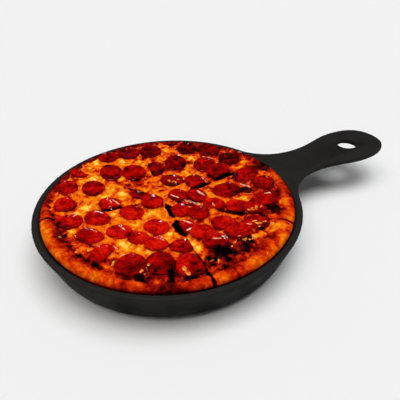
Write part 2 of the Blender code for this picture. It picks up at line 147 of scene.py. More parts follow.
# Crumbs of cheese and of fat: middle, length, width and bearing
CRUMBS = (
    (-3, 39, 5, 2.4, 110), (2, 37, 4, 1.6, 40), (5, 35, 5, 2, 100), (8, 41, 4, 1.6, 0),
    (87, -29, 5, 2.6, 10), (91, -25, 3, 1.6, 60), (96, -24, 7, 2.6, 80), (92, -28, 4, 2, 20),
    (102, -21, 5, 1.8, 70), (92, -45, 4, 1.6, 20), (95, -49, 6, 3, 160), (102, -47, 4, 2.4, 10),
    (96, -55, 3, 1.6, 30), (90, -69, 7, 4.4, 30), (69, -77, 4, 2, 60), (74, -73, 3, 1.8, 0),
    (85, -73, 5, 1.8, 20), (79, -74, 5, 2, 10), (66, -83, 3, 1.6, 80), (-16, -120, 6, 5, 90),
    (-12, -115, 7, 2.4, 60), (21, -115, 6, 3.4, 100), (24, -121, 7, 3.6, 115), (-104, -71, 3, 1.6, 0),
    (-89, -70, 4, 1.4, 110), (-82, -92, 4, 1.6, 40), (-72, -88, 6, 2, 100), (-45, -106, 7, 2.2, 80),
    (52, -104, 5, 1.4, 90), (46, -103, 4, 1.4, 20), (-58, 24, 4, 2.4, 10), (-44, 24, 4, 1.6, 80),
    (98, -96, 3, 1.2, 60),
)
# Burnt scraps: middle, length, width and bearing
SCRAPS = (
    (115, 66, 20, 12, -20), (89, 17, 14, 15, 60), (116, -22, 15, 12, 110), (-5, 131, 16, 5, 0),
    (78, 47, 10, 5, 35),
)
# Painted highlights, pale pink streaks on the sausage shaped like set fat, where it glints: middle, length,
# width and bearing
HIGHLIGHT_STREAK_PLACES = (
    (-73, 72, 15, 2.2, -30), (45, 95, 14, 2, -15), (73, 107, 9, 2.4, -5), (89, 106, 6, 1.4, -20),
    (39, 42, 9, 1.8, -50), (89, 29, 15, 2.4, -38), (69, 31, 7, 2.6, -20), (6, 5, 11, 1.8, -35),
    (35, 10, 12, 2.6, -50), (28, -6, 19, 2.1, -27), (-59, -9, 13, 1.8, -45), (-66, -7, 6, 1.3, -60),
    (-64, -18, 5, 1.3, -50), (-40, -13, 7, 1.5, 0), (115, 43, 7, 1.5, -50), (114, 7, 8, 3, 10),
    (-97, 36, 5, 1.4, -70), (-88, 35, 5, 1.2, -70), (6, 103, 7, 1.4, -70), (50, -12, 7, 1.5, -70),
    (-74, -29, 10, 1.6, -25), (-75, -59, 12, 1.6, -30), (-47, -84, 7, 1.5, -40), (0, -76, 9, 1.8, -35),
    (21, -43, 12, 2.4, -28), (24, -56, 7, 2.8, 40), (-4, -41, 8, 1.4, -30), (-48, -52, 6, 1.3, -45),
    (-44, -56, 6, 1.5, -45), (69, -39, 4, 2, 0), (85, -50, 7, 1.3, -15), (58, -69, 7, 1.5, -35),
    (51, -76, 8, 1.3, 0), (-36, -94, 8, 1.8, 20),
)


def to_row(x, y):
    """A point of the pizza's own frame, in the skillet's."""
    cos, sin = math.cos(PIZZA_TURN), math.sin(PIZZA_TURN)
    return x * cos - y * sin, x * sin + y * cos


def to_pizza(x, y):
    """A point of the skillet's frame, in the pizza's own."""
    cos, sin = math.cos(PIZZA_TURN), math.sin(PIZZA_TURN)
    return x * cos + y * sin, -x * sin + y * cos


def smooth_step(low, high, value):
    """0 below low, 1 above high, and an even curve between them."""
    share = min(1.0, max(0.0, (value - low) / (high - low)))
    return share * share * (3 - 2 * share)


def beside(values, x, y):
    """The two values of a ring that a point's bearing lies between, and how far on it lies."""
    px, py = to_pizza(x, y)
    steps = len(values)
    spot = math.atan2(py, px) / math.tau * steps % steps
    before = int(spot)
    return values[before % steps], values[(before + 1) % steps], spot - before


def crust_width(x, y):
    """Width of the bare crust at the bearing of a point of the skillet's frame."""
    first, second, share = beside(CRUST_WIDTHS, x, y)
    share = smooth_step(0, 1, share)
    return first * (1 - share) + second * share


def browning_and_shade(x, y):
    """Brightness of the crust at the bearing of a point of the skillet's frame: partly how far it browned,
    partly painted shade from the skillet's wall.
    """
    first, second, share = beside(CRUST_BROWNING_AND_SHADE, x, y)
    return first * (1 - share) + second * share


def level_arm(bearing):
    """A level direction at a bearing."""
    return Vector((math.cos(bearing), math.sin(bearing), 0))


def uneven(place, *layers):
    """Unevenness at a place, added up from layers of a size in millimetres and a depth."""
    return sum(noise.noise(place / (size * MM)) * depth for size, depth in layers)


def welded(name):
    """A copy of a CAD node with its loose triangles joined."""
    bm = bmesh.new()
    bm.from_mesh(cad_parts[name].data)
    bmesh.ops.remove_doubles(bm, verts=bm.verts, dist=SAME)
    return bm


def turned(section, steps, same):
    """A closed form turned once round the upright axis from a half section of radius and level."""
    bm = bmesh.new()
    corners = [bm.verts.new((radius, 0, level)) for radius, level in section]
    chain = [bm.edges.new(pair) for pair in zip(corners, corners[1:])]
    bmesh.ops.spin(
        bm, geom=corners + chain, cent=(0, 0, 0), axis=(0, 0, 1), angle=math.tau, steps=steps,
        use_merge=True)
    bmesh.ops.remove_doubles(bm, verts=bm.verts, dist=same)
    bmesh.ops.recalc_face_normals(bm, faces=bm.faces)
    return bm


def tree_of(names):
    """One ray target for several CAD nodes."""
    bm = bmesh.new()
    for name in names:
        bm.from_mesh(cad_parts[name].data)
    tree = BVHTree.FromBMesh(bm)
    bm.free()
    return tree


UP = Vector((0, 0, 1))
DOWN = Vector((0, 0, -1))


class Relief:
    """The pizza's top on a fine grid: the bare food, the sausage over it, and how far away that is."""

    STEP = 1 * MM
    REACH = 146

    def __init__(self):
        food = tree_of(SLICES)
        sausage = tree_of(PEPPERONI)
        count = 2 * self.REACH + 1
        self.ground = np.full((count, count), np.nan)
        self.under = np.full((count, count), np.nan)
        self.top = np.full((count, count), np.nan)
        for row in range(count):
            for column in range(count):
                x = (column - self.REACH) * self.STEP
                y = (row - self.REACH) * self.STEP
                if math.hypot(x, y) > FOOD_RADIUS + 3 * MM:
                    continue
                hit = food.ray_cast(Vector((x, y, 0.1)), DOWN)[0]
                if hit and hit.z > OPEN_LEVEL:
                    self.ground[row, column] = hit.z
                hit = sausage.ray_cast(Vector((x, y, 0.1)), DOWN)[0]
                if hit:
                    self.top[row, column] = hit.z
                    self.under[row, column] = sausage.ray_cast(Vector((x, y, 0.02)), UP)[0].z
        self.ground = self.filled(self.ground)
        covered = ~np.isnan(self.top)
        edge = covered & ~self.neighbours(covered).all(0)
        rim = KDTree(int(edge.sum()))
        cells = np.argwhere(edge)
        for index, (row, column) in enumerate(cells):
            rim.insert((column, row, 0), index)
        rim.balance()
        self.away = np.zeros((count, count))
        self.rim = np.zeros((count, count))
        for row in range(count):
            for column in range(count):
                _, index, distance = rim.find((column, row, 0))
                side = -1 if covered[row, column] else 1
                self.away[row, column] = side * distance * self.STEP
                self.rim[row, column] = self.top[tuple(cells[index])]
        self.under = np.where(covered, self.under, self.ground)
        self.top = np.where(covered, self.top, self.ground)

    def marks(self, places):
        """How far inside the nearest of some round marks each cell lies: 1 at its middle, 0 from its edge."""
        span = (np.arange(2 * self.REACH + 1) - self.REACH) * self.STEP
        x, y = np.meshgrid(span, span)
        px, py = to_pizza(x, y)
        field = np.zeros_like(px)
        for cx, cy, size, *strength in places:
            mark = 1 - np.hypot(px - cx * MM, py - cy * MM) / (size * MM)
            field = np.maximum(field, mark * (strength[0] if strength else 1))
        return field

    @staticmethod
    def neighbours(field):
        """A field and its eight shifted copies."""
        return np.array([np.roll(field, (i, j), (0, 1)) for i in (-1, 0, 1) for j in (-1, 0, 1)])

    def filled(self, field):
        """A field whose empty cells take the mean of their neighbours, step by step."""
        while np.isnan(field).any():
            around = self.neighbours(field)
            known = ~np.isnan(around)
            total = np.where(known, around, 0).sum(0)
            mean = total / np.maximum(known.sum(0), 1)
            field = np.where(np.isnan(field) & known.any(0), mean, field)
        return field

    def read(self, field, x, y):
        """A field's value at a point, between its cells."""
        column = x / self.STEP + self.REACH
        row = y / self.STEP + self.REACH
        c = min(max(int(column), 0), 2 * self.REACH - 1)
        r = min(max(int(row), 0), 2 * self.REACH - 1)
        u, v = min(max(column - c, 0), 1), min(max(row - r, 0), 1)
        near = field[r, c] * (1 - u) + field[r, c + 1] * u
        far = field[r + 1, c] * (1 - u) + field[r + 1, c + 1] * u
        return near * (1 - v) + far * v


RELIEF = Relief()
BURNT = RELIEF.marks(BURNT_PLACES)
STAINED = RELIEF.marks(STAINED_PLACES)
PALE = RELIEF.marks(PALE_PLACES)
TOASTED = RELIEF.marks(TOASTED_AREAS)


def mark_at(field, x, y):
    """A mark's strength at a point, with a ragged outline."""
    place = Vector((x, y, 0)) / (3.5 * MM)
    dx = noise.noise(place) * 2.2 * MM
    dy = noise.noise(place + Vector((7, 3, 1))) * 2.2 * MM
    return RELIEF.read(field, x + dx, y + dy)


def toast_at(x, y):
    """How much lighter, above 0, or darker the oven and the sauce left the top at a point."""
    drift = uneven(Vector((x, y, 0)), (12, 0.20), (5, 0.26), (2.2, 0.10))
    area = min(1, 1.5 * mark_at(TOASTED, x, y))
    stain = smooth_step(0, 0.7, mark_at(STAINED, x, y))
    tone = drift * (1 - 0.4 * area) - max(0.28 * area, 0.30 * stain) - 0.12 * stain * area
    tone -= 0.36 * smooth_step(0, 0.9, mark_at(BURNT, x, y))
    return tone + 0.30 * smooth_step(0, 0.8, mark_at(PALE, x, y))


def cheese_mask(x, y):
    """How much of the top is cheese: 1 well inside the crust, 0 on the bare crust."""
    wander = uneven(Vector((x, y, 0)), (13, 5 * MM)) + uneven(Vector((x, y, 5)), (5, 3 * MM))
    border = FOOD_RADIUS - crust_width(x, y) + wander
    return smooth_step(border + 2 * MM, border - 4 * MM, math.hypot(x, y))


def cheese_level(x, y):
    """Level of the melted cheese, which laps up against the sausage and runs on under it."""
    place = Vector((x, y, 0))
    ground = RELIEF.read(RELIEF.ground, x, y)
    away = RELIEF.read(RELIEF.away, x, y)
    lumps = uneven(place, (9, 0.9), (4.2, 0.6), (1.9, 0.28))
    marks = 0.7 * mark_at(BURNT, x, y) + 0.6 * mark_at(PALE, x, y)
    bare = ground + (0.3 + lumps + marks) * MM
    drop = (0.5 + uneven(place, (6, 0.6))) * MM
    lap = max(bare, min(RELIEF.read(RELIEF.rim, x, y) - drop, ground + 2.8 * MM))
    reach = (3.2 + uneven(place, (7, 2.0))) * MM
    level = bare + (lap - bare) * (1 - smooth_step(0, reach, away))
    level -= (1 - cheese_mask(x, y)) * 2.2 * MM
    below = min(level, RELIEF.read(RELIEF.under, x, y) - 0.6 * MM)
    return level + (below - level) * smooth_step(0.1 * MM, -1.1 * MM, away)


def cut_planes(name):
    """The two upright cut faces of a slice: a point on each and its outward direction."""
    areas = {}
    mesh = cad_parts[name].data
    for face in mesh.polygons:
        if abs(face.normal.z) < 0.01 and face.area > 1e-8:
            bearing = round(math.degrees(math.atan2(face.normal.y, face.normal.x)))
            key = (bearing, round(face.normal.dot(face.center), 4))
            total, _, _ = areas.get(key, (0, None, None))
            areas[key] = (total + face.area, face.center.copy(), face.normal.copy())
    largest = sorted(areas.values(), key=lambda entry: -entry[0])[:2]
    return [(point, normal) for _, point, normal in largest]


def openings_of(normal, inside):
    """Direction out along a cut, and where it has opened."""
    along = Vector((-normal.y, normal.x, 0))
    if along.dot(inside) < 0:
        along.negate()
    bearing = math.degrees(math.atan2(along.y, along.x) - PIZZA_TURN)
    nearest = min(OPENINGS, key=lambda cut: abs((cut - bearing + 180) % 360 - 180))
    return along, OPENINGS[nearest]


def openness(distance, ranges):
    """Half width of the opening at a distance along a cut."""
    width = 0
    for start, end, gap in ranges:
        ease = min(6, (end - start) / 3) * MM
        rise = smooth_step(start * MM - ease, start * MM + ease, distance)
        fall = smooth_step(end * MM + ease, end * MM - ease, distance)
        width = max(width, gap / 2 * MM * rise * fall)
    return width


def cut_out(bm, name, widen):
    """Cuts a mesh at a slice's two faces, each moved out a little, and closes the cuts if it is a solid."""
    closed = not any(edge.is_boundary for edge in bm.edges)
    for point, normal in cut_planes(name):
        bmesh.ops.bisect_plane(
            bm, geom=bm.verts[:] + bm.edges[:] + bm.faces[:], dist=0.000001,
            plane_co=point + normal * widen, plane_no=normal, clear_outer=True,
        )
        rim = [edge for edge in bm.edges if edge.is_boundary]
        if closed and rim:
            bmesh.ops.holes_fill(bm, edges=rim, sides=0)


def draw_back(bm, name, widen, sink, reach):
    """Opens a slice's cuts where they gape: moves the edge back and down, and darkens it with painted shade.

    The cut was moved out by widen, the edge sinks by sink, and reach is how far in the slice that shows.
    """
    tone = bm.verts.layers.float["tone"]
    cx, cy = to_row(*CUT_CENTRE)
    planes = cut_planes(name)
    inside = sum((normal for _, normal in planes), Vector()) * -1
    for point, normal in planes:
        along, ranges = openings_of(normal, inside)
        edge = point + normal * widen
        for vert in bm.verts:
            depth = (edge - vert.co).dot(normal)
            if depth > 3 * reach or vert.co.z < OPEN_LEVEL:
                continue
            distance = (vert.co - Vector((cx, cy, 0))).dot(along)
            gap = openness(distance, ranges) * (1 + 0.5 * noise.noise(vert.co / (5 * MM)))
            fade = max(0, 1 - depth / (reach + 1.5 * gap))
            if gap <= 0 or fade <= 0:
                continue
            vert.co -= normal * gap * fade
            vert.co.z -= sink * min(1, gap / MM) * fade ** 2
            # Painted shade: the tone is lowered along the opened edge, more where the gap is wider, for the
            # shade down in the cut
            vert[tone] -= min(0.7, 0.8 * gap / MM) * max(0, 1 - depth / (1.2 * MM + 0.5 * gap))


# Node groups and materials

def node(tree, kind, **settings):
    """A shader node with its settings."""
    made = tree.nodes.new(kind)
    for key, value in settings.items():
        setattr(made, key, value)
    return made


def set_sockets(made, **values):
    """Sets a node's inputs, each named by its label with _ for a space."""
    for label, value in values.items():
        made.inputs[label.replace("_", " ")].default_value = value


def group(name, inputs, output):
    """An empty node group: a place and some numbers go in, and one number comes out."""
    tree = bpy.data.node_groups.new(name, "ShaderNodeTree")
    tree.interface.new_socket("Vector", in_out="INPUT", socket_type="NodeSocketVector")
    for label in inputs:
        tree.interface.new_socket(label, in_out="INPUT", socket_type="NodeSocketFloat")
    tree.interface.new_socket(output, in_out="OUTPUT", socket_type="NodeSocketFloat")
    return tree, tree.nodes.new("NodeGroupInput"), tree.nodes.new("NodeGroupOutput")


def patches_group():
    """Soft-edged blotches: a mask that is 1 inside them."""
    tree, enter, leave = group("Patches", ("Scale", "Detail", "Low", "High"), "Mask")
    pattern = node(tree, "ShaderNodeTexNoise")
    ramp = node(tree, "ShaderNodeMapRange", interpolation_type="SMOOTHSTEP")
    for label in ("Vector", "Scale", "Detail"):
        tree.links.new(enter.outputs[label], pattern.inputs[label])
    tree.links.new(pattern.outputs["Fac"], ramp.inputs["Value"])
    tree.links.new(enter.outputs["Low"], ramp.inputs["From Min"])
    tree.links.new(enter.outputs["High"], ramp.inputs["From Max"])
    tree.links.new(ramp.outputs["Result"], leave.inputs["Mask"])
    return tree


def grain_group():
    """Two sizes of small lumps added up, as a height."""
    tree, enter, leave = group("Grain", ("Coarse", "Fine", "Share"), "Height")
    coarse = node(tree, "ShaderNodeTexNoise")
    fine = node(tree, "ShaderNodeTexNoise")
    mix = node(tree, "ShaderNodeMix", data_type="FLOAT")
    for pattern, label in ((coarse, "Coarse"), (fine, "Fine")):
        tree.links.new(enter.outputs["Vector"], pattern.inputs["Vector"])
        tree.links.new(enter.outputs[label], pattern.inputs["Scale"])
        pattern.inputs["Detail"].default_value = 3
    tree.links.new(enter.outputs["Share"], mix.inputs[0])
    tree.links.new(coarse.outputs["Fac"], mix.inputs[2])
    tree.links.new(fine.outputs["Fac"], mix.inputs[3])
    tree.links.new(mix.outputs[0], leave.inputs["Height"])
    return tree


def shared(name):
    """A node group that several finishes use, made when the first of them asks for it."""
    makers = {"Patches": patches_group, "Grain": grain_group}
    return bpy.data.node_groups.get(name) or makers[name]()


class Finish:
    """A Principled material that is built up in layers of colour."""

    def __init__(self, name, roughness, specular):
        self.material = bpy.data.materials.new(name)
        self.material.use_nodes = True
        self.tree = self.material.node_tree
        self.shader = self.tree.nodes["Principled BSDF"]
        set_sockets(self.shader, Roughness=roughness, Specular_IOR_Level=specular)
        self.place = node(self.tree, "ShaderNodeTexCoord").outputs["Object"]
        self.colour = None

    def patches(self, scale, low, high, detail=4.0):
        """A mask of blotches over the surface."""
        return self.pattern("Patches", Scale=scale, Detail=detail, Low=low, High=high)

    def pattern(self, name, **values):
        """What a shared node group makes of the surface."""
        made = node(self.tree, "ShaderNodeGroup", node_tree=shared(name))
        self.tree.links.new(self.place, made.inputs["Vector"])
        set_sockets(made, **values)
        return made.outputs[0]

    def attribute(self, name):
        """A value stored on the piece's points."""
        return node(self.tree, "ShaderNodeAttribute", attribute_name=name).outputs["Fac"]

    def height(self):
        """Level above the table."""
        parts = node(self.tree, "ShaderNodeSeparateXYZ")
        self.tree.links.new(self.place, parts.inputs[0])
        return parts.outputs["Z"]

    def ranged(self, value, low, high, to_low=0.0, to_high=1.0):
        """A value spread smoothly over a new range."""
        made = node(self.tree, "ShaderNodeMapRange", interpolation_type="SMOOTHSTEP")
        self.tree.links.new(value, made.inputs["Value"])
        set_sockets(made, From_Min=low, From_Max=high, To_Min=to_low, To_Max=to_high)
        return made.outputs["Result"]

    def added(self, *values):
        """The sum of two values."""
        made = node(self.tree, "ShaderNodeMath", operation="ADD")
        for socket, value in zip(made.inputs, values):
            self.tree.links.new(value, socket)
        return made.outputs[0]

    def paint(self, colour, mask=None):
        """Lays a colour over what is there, where the mask says."""
        made = node(self.tree, "ShaderNodeMix", data_type="RGBA")
        factor, under, over = made.inputs[0], made.inputs[6], made.inputs[7]
        over.default_value = (*colour, 1)
        if self.colour is None:
            factor.default_value = 0
            under.default_value = (*colour, 1)
        else:
            self.tree.links.new(mask, factor)
            self.tree.links.new(self.colour, under)
        self.show(made.outputs[2])

    def show(self, colour):
        """Makes a colour the surface's own."""
        self.colour = colour
        self.tree.links.new(colour, self.shader.inputs["Base Color"])

    def ramp(self, value, stops):
        """Colours by a value, from stops of (value, colour)."""
        made = node(self.tree, "ShaderNodeValToRGB")
        scale = made.color_ramp
        while len(scale.elements) < len(stops):
            scale.elements.new(0.5)
        for element, (spot, colour) in zip(scale.elements, stops):
            element.position = spot
            element.color = (*colour, 1)
        self.tree.links.new(value, made.inputs[0])
        self.show(made.outputs["Color"])

    def mottled(self, value, *layers):
        """A value with blotches added, each of (scale, depth)."""
        for scale, depth in layers:
            value = self.added(value, self.ranged(self.patches(scale, 0.3, 0.7), 0, 1, -depth, depth))
        return value

    def grain(self, coarse, fine, share, strength, distance):
        """Small lumps in the surface."""
        height = self.pattern("Grain", Coarse=coarse, Fine=fine, Share=share)
        bump = node(self.tree, "ShaderNodeBump")
        set_sockets(bump, Strength=strength, Distance=distance)
        self.tree.links.new(height, bump.inputs["Height"])
        self.tree.links.new(bump.outputs["Normal"], self.shader.inputs["Normal"])

    def rough(self, value):
        """Roughness that changes over the surface."""
        self.tree.links.new(value, self.shader.inputs["Roughness"])

    def coat(self, weight, roughness):
        """A thin film of fat over the surface."""
        self.shader.inputs["Coat Roughness"].default_value = roughness
        if isinstance(weight, float):
            self.shader.inputs["Coat Weight"].default_value = weight
        else:
            self.tree.links.new(weight, self.shader.inputs["Coat Weight"])


def iron_finish(looks):
    """Seasoned cast iron: almost black, pebbled by the sand mould, with drier and oilier patches, and painted
    shade that darkens it lower down.
    """
    made = Finish("seasoned_iron", 0.6, specular=0.04)
    made.paint(tuple(looks.iron_colour))
    made.paint((0.0170, 0.0164, 0.0152), made.patches(28, 0.45, 0.65))
    made.paint((0.021, 0.020, 0.0185), made.patches(160, 0.58, 0.74))
    # Painted shade: the wall and base below the rim are painted darker than the rim and handle, for the shade
    # that falls on the wall
    made.paint((0.0086, 0.0082, 0.0072), made.ranged(made.height(), 0.047, 0.026))
    made.rough(made.ranged(made.patches(40, 0.35, 0.7), 0, 1, 0.5, 0.72))
    made.grain(700, 2200, 0.4, 0.35, 0.0004)
    return made.material


def toasting(looks, base):
    """The colours of the baked top, from burnt to barely melted."""
    return (
        (0.0, (0.002, 0.0005, 0.0005)), (0.14, (0.075, 0.0016, 0.0005)), (0.28, tuple(looks.toast_colour)),
        (0.43, (0.60, 0.029, 0.001)), (0.58, base), (0.74, (0.86, 0.23, 0.005)), (0.88, (0.90, 0.40, 0.018)),
        (1.0, (0.94, 0.60, 0.09)),
    )


def dough_finish(looks):
    """Baked dough: orange with oil, golden at parts of its edge, red where the sauce ran, burnt on its
    blisters, and darker with painted shade at its edge by the skillet's wall and along its cuts.
    """
    made = Finish("baked_dough", 0.6, specular=0.0)
    tone = made.mottled(made.attribute("tone"), (110, 0.07), (300, 0.05), (800, 0.03))
    made.ramp(tone, toasting(looks, tuple(looks.crust_colour)))
    made.grain(260, 1100, 0.4, 0.45, 0.0006)
    return made.material


def cheese_finish(looks):
    """Melted cheese: orange with oil, yellow where it is thick, red by the sausage, blistered brown, and
    darker with painted shade along its cuts.
    """
    made = Finish("melted_cheese", 0.45, specular=0.0)
    tone = made.mottled(made.attribute("tone"), (200, 0.10), (420, 0.05), (900, 0.02))
    made.ramp(tone, toasting(looks, tuple(looks.cheese_colour)))
    made.grain(340, 1300, 0.35, 0.45, 0.0006)
    made.coat(made.patches(130, 0.6, 0.72), 0.12)
    return made.material


def pepperoni_finish(looks):
    """Cured sausage: deep red, mottled, flecked with fat, darker and crisp at its rim, wet with oil."""
    made = Finish("pepperoni", 0.5, specular=0.0)
    tone = made.mottled(made.attribute("tone"), (90, 0.16), (230, 0.13), (600, 0.05))
    made.ramp(tone, (
        (0.0, (0.002, 0.0005, 0.0005)), (0.22, (0.05, 0.0006, 0.0004)), (0.48, tuple(looks.pepperoni_colour)),
        (0.72, (0.43, 0.0022, 0.0006)), (0.92, (0.63, 0.008, 0.0015)),
    ))
    made.paint((0.66, 0.06, 0.012), made.patches(1000, 0.69, 0.76, detail=2.0))
    made.grain(300, 1000, 0.35, 0.4, 0.0005)
    made.coat(made.patches(110, 0.45, 0.6), 0.1)
    return made.material


def flecked(name, roughness, specular, colour, *flecks):
    """A finish for small things: a colour with flecks of others, each of (colour, scale, low, high)."""
    made = Finish(name, roughness, specular)
    made.paint(colour)
    for fleck, *spread in flecks:
        made.paint(fleck, made.patches(*spread))
    return made


def crumb_finish():
    """Crumbs of cheese and fat: pale yellow, with yellower and browner flecks."""
    made = flecked(
        "pale_crumbs", 0.5, 0.15, (0.84, 0.24, 0.008),
        ((0.92, 0.55, 0.10), 300, 0.52, 0.64), ((0.60, 0.06, 0.003), 250, 0.54, 0.64))
    made.grain(500, 1500, 0.4, 0.4, 0.0004)
    made.coat(0.4, 0.15)
    return made.material


def painted_highlight_finish():
    """Painted highlights: pale pink streaks over the red of the sausage, coloured like set fat."""
    made = flecked(
        "painted_highlight_fat", 0.4, 0.1, (0.84, 0.33, 0.19),
        ((0.66, 0.07, 0.02), 420, 0.52, 0.64), ((0.95, 0.66, 0.52), 350, 0.5, 0.62))
    made.grain(500, 1500, 0.4, 0.3, 0.0003)
    return made.material


def char_finish():
    """Burnt scraps: black with a brown cast."""
    made = flecked(
        "burnt_scraps", 0.55, 0.0, (0.004, 0.001, 0.001),
        ((0.09, 0.002, 0.0008), 150, 0.45, 0.62), ((0.20, 0.006, 0.001), 300, 0.6, 0.7))
    made.grain(500, 1500, 0.4, 0.6, 0.0005)
    return made.material


def finished(bm, name, material):
    """Makes a piece of a mesh: it rides with the food, and names the finish it goes with."""
    mesh = bpy.data.meshes.new(name)
    bm.to_mesh(mesh)
    bm.free()
    mesh.materials.append(material)
    mesh.shade_smooth()
    mesh.set_sharp_from_angle(angle=math.radians(50))
    made = bpy.data.objects.new(name, mesh)
    bpy.context.scene.collection.objects.link(made)
    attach(made, BODY)
    return made


def colour_setting(label, description, default):
    """A colour among the settings."""
    return bpy.props.FloatVectorProperty(
        name=label, description=description, default=default, subtype="COLOR")


def number_setting(label, description, default, unit="NONE"):
    """A number among the settings."""
    return bpy.props.FloatProperty(name=label, description=description, default=default, unit=unit)


class SkilletLooks(bpy.types.PropertyGroup):
    """The finish of the skillet."""

    iron_colour: colour_setting("Iron", "Colour of the seasoned iron", (0.0185, 0.0178, 0.0164))


class PizzaLooks(bpy.types.PropertyGroup):
    """Colours and relief of the pizza's top."""

    crust_colour: colour_setting("Crust", "Colour of the baked crust", (0.74, 0.100, 0.001))
    cheese_colour: colour_setting("Cheese", "Colour of the melted cheese", (0.80, 0.130, 0.001))
    pepperoni_colour: colour_setting("Pepperoni", "Colour of the sausage", (0.21, 0.0010, 0.0004))
    toast_colour: colour_setting("Toasted", "Colour of the toasted cheese", (0.30, 0.006, 0.001))
    cheese_thickness: number_setting(
        "Cheese thickness", "Depth of the cheese over the dough", 2 * MM, "LENGTH")
    ring_step: number_setting("Crust detail", "Distance between the crust's points", 1.3 * MM, "LENGTH")
    cheese_step: number_setting(
        "Cheese detail", "Distance between the cheese's points", 0.95 * MM, "LENGTH")
    seed: bpy.props.IntProperty(name="Seed", description="Start of the random draws", default=17)


class StageLooks(bpy.types.PropertyGroup):
    """The camera and the light."""

    focal_length: number_setting("Focal length", "Focal length in millimetres on a 36 mm sensor", 35.13)
    elevation: number_setting("Elevation", "Height of the camera's view", math.radians(34.89), "ROTATION")
    distance: number_setting("Distance", "From the camera to what it looks at", 0.4479, "LENGTH")
    sky: number_setting("Sky", "Strength of the even light from all sides", 0.15)
    key: number_setting("Key", "Strength of the key light from the right", 1.90)
    fill: number_setting("Fill", "Strength of the light from the front left", 1.25)
    gloss: number_setting("Gloss", "Strength of the light that glints in fat", 4.0)


class SkilletOperator(bpy.types.Operator):
    """Finishes the cast-iron skillet"""

    bl_idname = "pizza.skillet"
    bl_label = "Skillet"

    def execute(self, context):
        material = iron_finish(context.scene.skillet_looks)
        made = finished(welded("skillet"), "skillet_cast", material)
        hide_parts("skillet")
        return {"FINISHED"}


class DoughOperator(bpy.types.Operator):
    """Models the deep crust of every slice"""

    bl_idname = "pizza.dough"
    bl_label = "Dough"

    WIDEN = 0.8 * MM
    SINK = 0.6 * MM
    REACH = 5 * MM

    def execute(self, context):
        looks = context.scene.pizza_looks
        material = dough_finish(looks)
        blank = self.blank(looks)
        for name in SLICES:
            piece = blank.copy()
            cut_out(piece, name, self.WIDEN)
            draw_back(piece, name, self.WIDEN, self.SINK, self.REACH)
            bmesh.ops.triangulate(piece, faces=[f for f in piece.faces if len(f.verts) > 4])
            made = finished(piece, name.replace("slice", "dough"), material)
            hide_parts(name)
        blank.free()
        return {"FINISHED"}

    def blank(self, looks):
        """The whole crust before it is cut, turned from its section and given its relief."""
        bm = turned(self.section(looks.ring_step), int(math.tau * FOOD_RADIUS / looks.ring_step), SAME)
        tone = bm.verts.layers.float.new("tone")
        for vert in bm.verts:
            x, y, z = vert.co
            radius = math.hypot(x, y)
            if z < TOP_LEVEL:
                vert[tone] = SIDE_TONE
                continue
            edge = smooth_step(FOOD_RADIUS - 12 * MM, FOOD_RADIUS - 3 * MM, radius)
            # Partly painted shade: the edge's brightness carries the shade of the skillet's wall as well as
            # how far it browned
            bright = browning_and_shade(x, y)
            outermost = smooth_step(FOOD_RADIUS - 8 * MM, FOOD_RADIUS - 2 * MM, radius)
            vert[tone] = DOUGH_TONE + (0.44 * bright - 0.22) * edge + 0.7 * toast_at(x, y)
            # Painted shade: where the edge is dark, its outermost band is darkened further, for the shade the
            # skillet's wall casts on it
            vert[tone] -= max(0, 0.40 - 0.6 * bright) * outermost
            # Painted shade: the rounded edge that turns down against the skillet's wall is darker
            if radius > SIDE_RADIUS:
                vert[tone] -= 0.12
                continue
            burnt = mark_at(BURNT, x, y)
            lump = uneven(vert.co, (9, 0.6), (3.4, 0.4), (1.7, 0.18)) + 0.8 * burnt
            fade = smooth_step(FOOD_RADIUS, FOOD_RADIUS - 2 * MM, radius)
            sunk = cheese_mask(x, y) * looks.cheese_thickness
            vert.co.z = RELIEF.read(RELIEF.ground, x, y) - sunk + (lump * fade - 0.2) * MM
            border = FOOD_RADIUS - crust_width(x, y)
            ragged = uneven(vert.co, (5, 2.5 * MM))
            vert[tone] -= 0.14 * smooth_step(border + 4.5 * MM + ragged, border - 1 * MM, radius)
            vert[tone] = max(vert[tone], 0.18 + uneven(vert.co, (4, 0.14)) - 0.4 * burnt)
        return bm

    @staticmethod
    def section(step):
        """The crust's half section: its top in small steps, its side and its base."""
        shoulder = PAN_DEPTH - 1 * MM
        inner = 96 * MM
        points = [(0, PAN_DEPTH), (48 * MM, PAN_DEPTH), (inner - 12 * MM, PAN_DEPTH)]
        rings = int((FOOD_RADIUS - inner) / step)
        points += [(inner + (FOOD_RADIUS - inner) * i / rings, PAN_DEPTH) for i in range(rings)]
        points += [(FOOD_RADIUS, shoulder), (FOOD_RADIUS - 0.6 * MM, shoulder - 2.5 * MM)]
        points += [(FOOD_RADIUS - (1.6 + 1.1 * i) * MM, shoulder - (5 + 3.6 * i) * MM) for i in range(7)]
        points += [(127 * MM, 12 * MM), (123 * MM, 8 * MM), (116 * MM, 5.6 * MM)]
        points += [(60 * MM, 5.4 * MM), (0, 5.4 * MM)]
        return points


